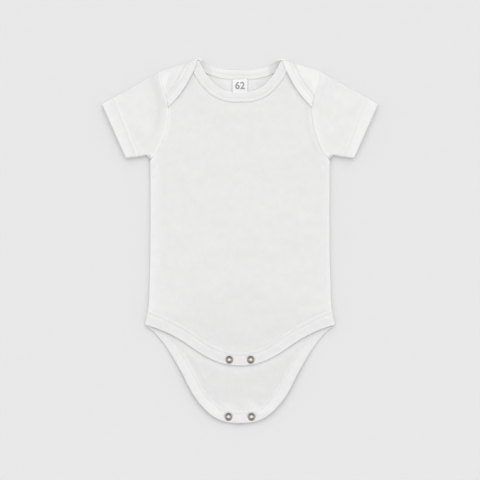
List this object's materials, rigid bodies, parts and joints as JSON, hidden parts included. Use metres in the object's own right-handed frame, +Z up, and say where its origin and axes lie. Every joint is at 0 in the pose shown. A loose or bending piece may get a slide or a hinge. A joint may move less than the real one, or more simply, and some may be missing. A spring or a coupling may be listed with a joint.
{
  "type": "baby onesie laid flat",
  "caption": "Short-sleeved baby bodysuit laid flat, front up: lap-shoulder neck, bound neck and leg edges, and snaps at the crotch.",
  "frame": {"origin": "middle of the garment's plan, on the surface that it lies on", "axes": "+Y towards the neck, +X towards the wearer's left, +Z up out of the front of the garment"},
  "size_m": [0.3174, 0.4188, 0.0065],
  "materials": {
    "jersey": "matte white cotton jersey knit",
    "rib": "matte white cotton rib knit",
    "label": "white woven satin ribbon",
    "snap": "bright nickel plate"
  },
  "bodies": {
    "root": {"front_panel": "jersey", "back_panel": "jersey", "sleeve_left": "jersey", "sleeve_right": "jersey", "neck_binding_front": "rib", "neck_binding_back": "rib", "leg_binding_front": "rib", "leg_binding_back": "rib", "neck_label": "label", "snap_ring_front_left": "snap", "snap_ring_back_left": "snap", "snap_socket_left": "snap", "snap_stud_left": "snap", "snap_ring_front_right": "snap", "snap_ring_back_right": "snap", "snap_socket_right": "snap", "snap_stud_right": "snap"}
  },
  "joints": []
}
